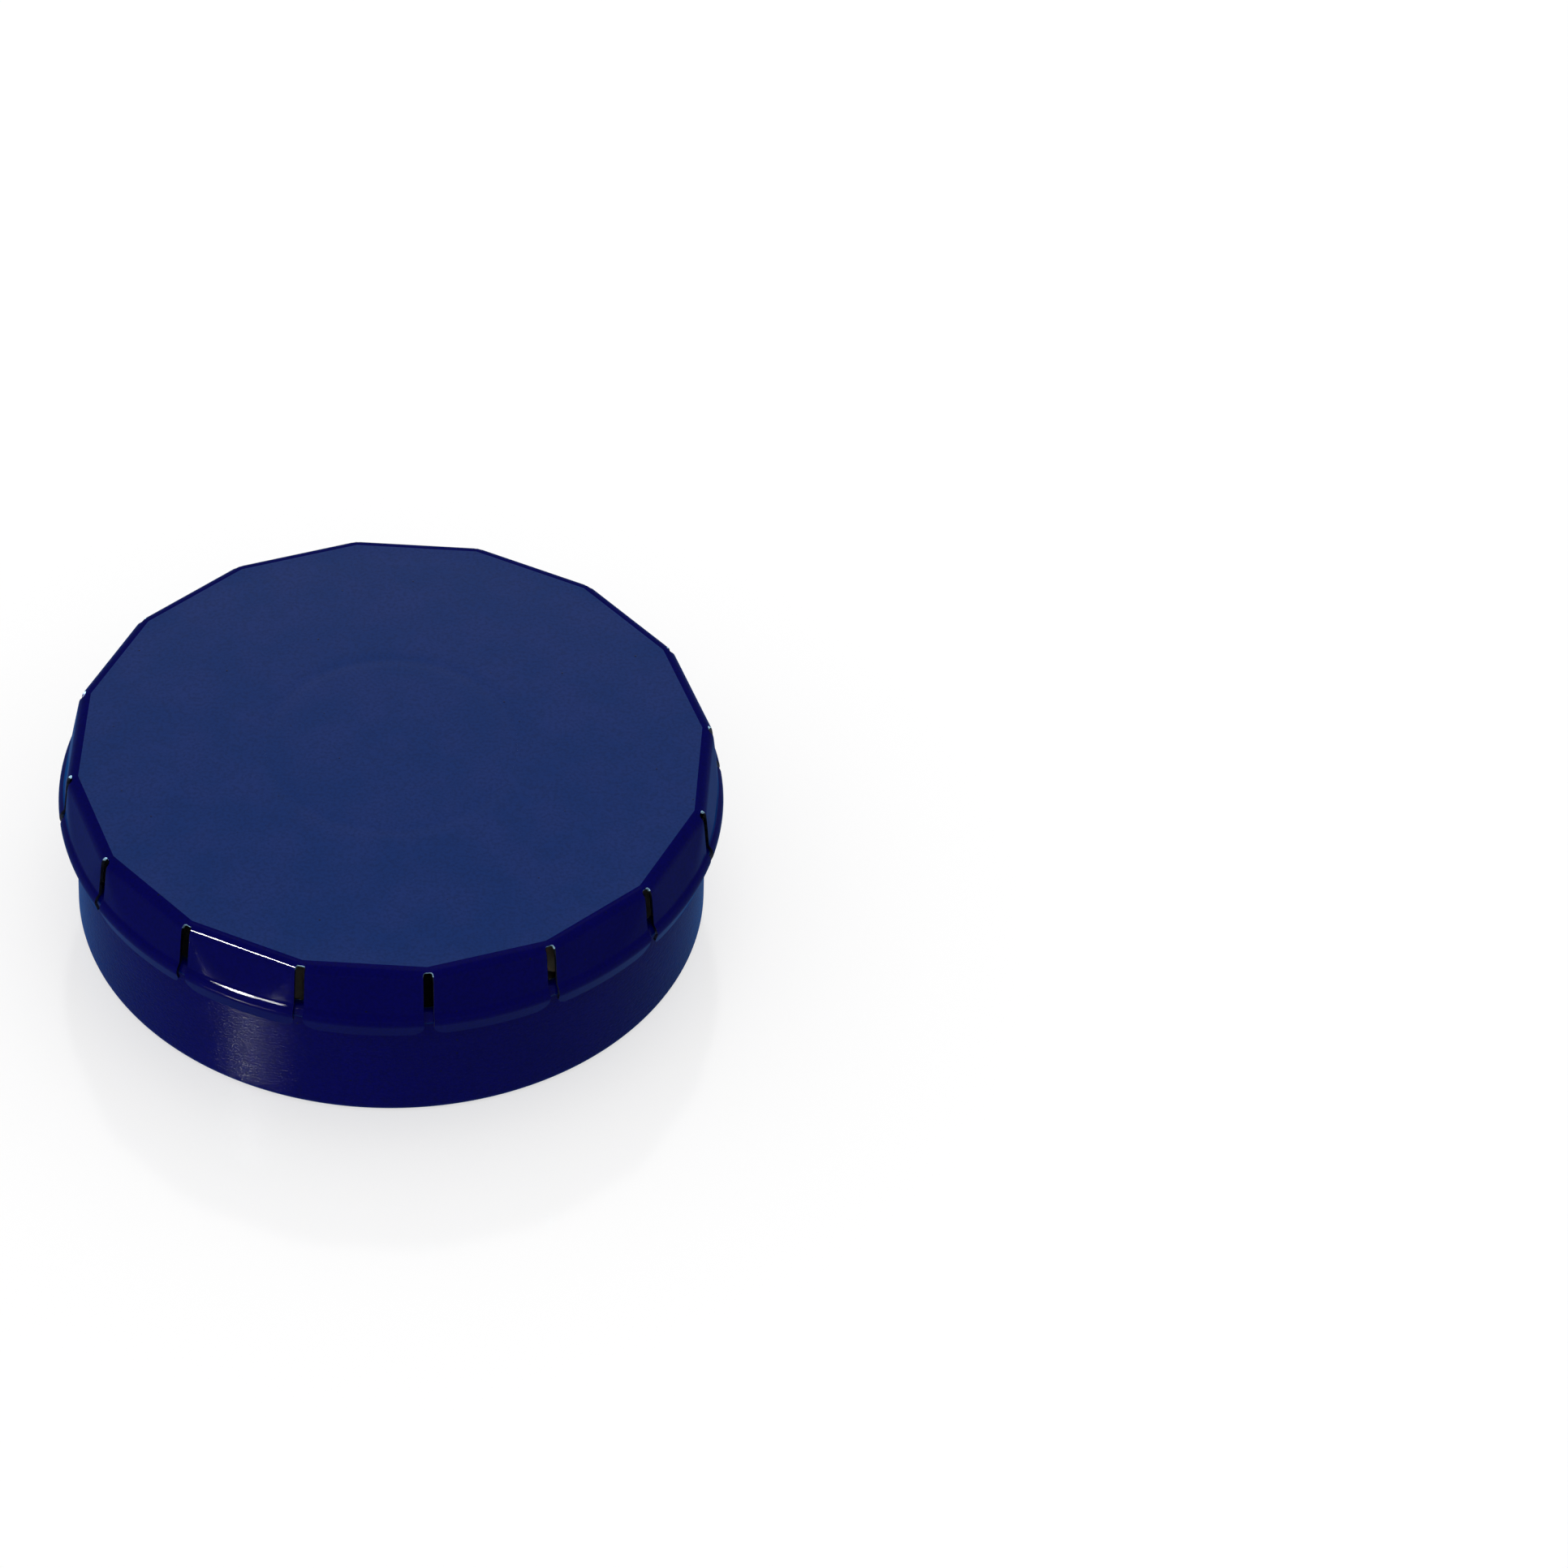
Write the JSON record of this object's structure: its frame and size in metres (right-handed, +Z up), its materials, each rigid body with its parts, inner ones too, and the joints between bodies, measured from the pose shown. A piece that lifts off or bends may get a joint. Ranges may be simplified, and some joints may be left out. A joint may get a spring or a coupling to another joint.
{
  "type": "mint tin",
  "caption": "Round click tin with loose mints: pressing the domed lid flares its skirt fingers from under the cup's rolled rim, so the lid lifts off.",
  "frame": {"origin": "centre of the flat underside that the tin stands on", "axes": "+Z up, along the tin's round axis; a finger of the skirt points along +X and one along +Y"},
  "size_m": [0.0488, 0.0488, 0.0151],
  "materials": {
    "cup_enamel": "navy enamel on tinplate, glossy, with a fine orange peel",
    "lid_enamel": "navy enamel on tinplate, satin on the panel and glossy on the fingers",
    "mint": null
  },
  "bodies": {
    "base": {"cup": "cup_enamel", "mint_1": "mint", "mint_2": "mint", "mint_3": "mint", "mint_4": "mint", "mint_5": "mint"},
    "lid": {"lid_panel": "lid_enamel"},
    "press_disc": {"press_disc": "lid_enamel"},
    "lid_finger_01": {"lid_finger_01": "lid_enamel"},
    "lid_finger_02": {"lid_finger_02": "lid_enamel"},
    "lid_finger_03": {"lid_finger_03": "lid_enamel"},
    "lid_finger_04": {"lid_finger_04": "lid_enamel"},
    "lid_finger_05": {"lid_finger_05": "lid_enamel"},
    "lid_finger_06": {"lid_finger_06": "lid_enamel"},
    "lid_finger_07": {"lid_finger_07": "lid_enamel"},
    "lid_finger_08": {"lid_finger_08": "lid_enamel"},
    "lid_finger_09": {"lid_finger_09": "lid_enamel"},
    "lid_finger_10": {"lid_finger_10": "lid_enamel"},
    "lid_finger_11": {"lid_finger_11": "lid_enamel"},
    "lid_finger_12": {"lid_finger_12": "lid_enamel"},
    "lid_finger_13": {"lid_finger_13": "lid_enamel"},
    "lid_finger_14": {"lid_finger_14": "lid_enamel"},
    "lid_finger_15": {"lid_finger_15": "lid_enamel"},
    "lid_finger_16": {"lid_finger_16": "lid_enamel"}
  },
  "joints": [
    {"name": "lid_lift", "type": "slide", "parent": "base", "child": "lid", "axis": [0, 0, 1], "range_m": [0, 0.024]},
    {"name": "press_click", "type": "slide", "parent": "lid", "child": "press_disc", "axis": [0, 0, -1], "range_m": [0, 0.0017]},
    {"name": "flare_01", "type": "hinge", "parent": "lid", "child": "lid_finger_01", "pos_m": [0.02258, 0, 0.01425], "axis": [0, -1, 0], "range_deg": [0, 10]},
    {"name": "flare_02", "type": "hinge", "parent": "lid", "child": "lid_finger_02", "pos_m": [0.02086, 0.00864, 0.01425], "axis": [0.3827, -0.9239, 0], "range_deg": [0, 10]},
    {"name": "flare_03", "type": "hinge", "parent": "lid", "child": "lid_finger_03", "pos_m": [0.01596, 0.01596, 0.01425], "axis": [0.7071, -0.7071, 0], "range_deg": [0, 10]},
    {"name": "flare_04", "type": "hinge", "parent": "lid", "child": "lid_finger_04", "pos_m": [0.00864, 0.02086, 0.01425], "axis": [0.9239, -0.3827, 0], "range_deg": [0, 10]},
    {"name": "flare_05", "type": "hinge", "parent": "lid", "child": "lid_finger_05", "pos_m": [0, 0.02258, 0.01425], "axis": [1, 0, 0], "range_deg": [0, 10]},
    {"name": "flare_06", "type": "hinge", "parent": "lid", "child": "lid_finger_06", "pos_m": [-0.00864, 0.02086, 0.01425], "axis": [0.9239, 0.3827, 0], "range_deg": [0, 10]},
    {"name": "flare_07", "type": "hinge", "parent": "lid", "child": "lid_finger_07", "pos_m": [-0.01596, 0.01596, 0.01425], "axis": [0.7071, 0.7071, 0], "range_deg": [0, 10]},
    {"name": "flare_08", "type": "hinge", "parent": "lid", "child": "lid_finger_08", "pos_m": [-0.02086, 0.00864, 0.01425], "axis": [0.3827, 0.9239, 0], "range_deg": [0, 10]},
    {"name": "flare_09", "type": "hinge", "parent": "lid", "child": "lid_finger_09", "pos_m": [-0.02258, 0, 0.01425], "axis": [0, 1, 0], "range_deg": [0, 10]},
    {"name": "flare_10", "type": "hinge", "parent": "lid", "child": "lid_finger_10", "pos_m": [-0.02086, -0.00864, 0.01425], "axis": [-0.3827, 0.9239, 0], "range_deg": [0, 10]},
    {"name": "flare_11", "type": "hinge", "parent": "lid", "child": "lid_finger_11", "pos_m": [-0.01596, -0.01596, 0.01425], "axis": [-0.7071, 0.7071, 0], "range_deg": [0, 10]},
    {"name": "flare_12", "type": "hinge", "parent": "lid", "child": "lid_finger_12", "pos_m": [-0.00864, -0.02086, 0.01425], "axis": [-0.9239, 0.3827, 0], "range_deg": [0, 10]},
    {"name": "flare_13", "type": "hinge", "parent": "lid", "child": "lid_finger_13", "pos_m": [0, -0.02258, 0.01425], "axis": [-1, 0, 0], "range_deg": [0, 10]},
    {"name": "flare_14", "type": "hinge", "parent": "lid", "child": "lid_finger_14", "pos_m": [0.00864, -0.02086, 0.01425], "axis": [-0.9239, -0.3827, 0], "range_deg": [0, 10]},
    {"name": "flare_15", "type": "hinge", "parent": "lid", "child": "lid_finger_15", "pos_m": [0.01596, -0.01596, 0.01425], "axis": [-0.7071, -0.7071, 0], "range_deg": [0, 10]},
    {"name": "flare_16", "type": "hinge", "parent": "lid", "child": "lid_finger_16", "pos_m": [0.02086, -0.00864, 0.01425], "axis": [-0.3827, -0.9239, 0], "range_deg": [0, 10]}
  ],
  "couplings": [
    {"joint": "flare_01", "follows": "press_click", "rad_per_m": 77},
    {"joint": "flare_02", "follows": "press_click", "rad_per_m": 77},
    {"joint": "flare_03", "follows": "press_click", "rad_per_m": 77},
    {"joint": "flare_04", "follows": "press_click", "rad_per_m": 77},
    {"joint": "flare_05", "follows": "press_click", "rad_per_m": 77},
    {"joint": "flare_06", "follows": "press_click", "rad_per_m": 77},
    {"joint": "flare_07", "follows": "press_click", "rad_per_m": 77},
    {"joint": "flare_08", "follows": "press_click", "rad_per_m": 77},
    {"joint": "flare_09", "follows": "press_click", "rad_per_m": 77},
    {"joint": "flare_10", "follows": "press_click", "rad_per_m": 77},
    {"joint": "flare_11", "follows": "press_click", "rad_per_m": 77},
    {"joint": "flare_12", "follows": "press_click", "rad_per_m": 77},
    {"joint": "flare_13", "follows": "press_click", "rad_per_m": 77},
    {"joint": "flare_14", "follows": "press_click", "rad_per_m": 77},
    {"joint": "flare_15", "follows": "press_click", "rad_per_m": 77},
    {"joint": "flare_16", "follows": "press_click", "rad_per_m": 77}
  ]
}
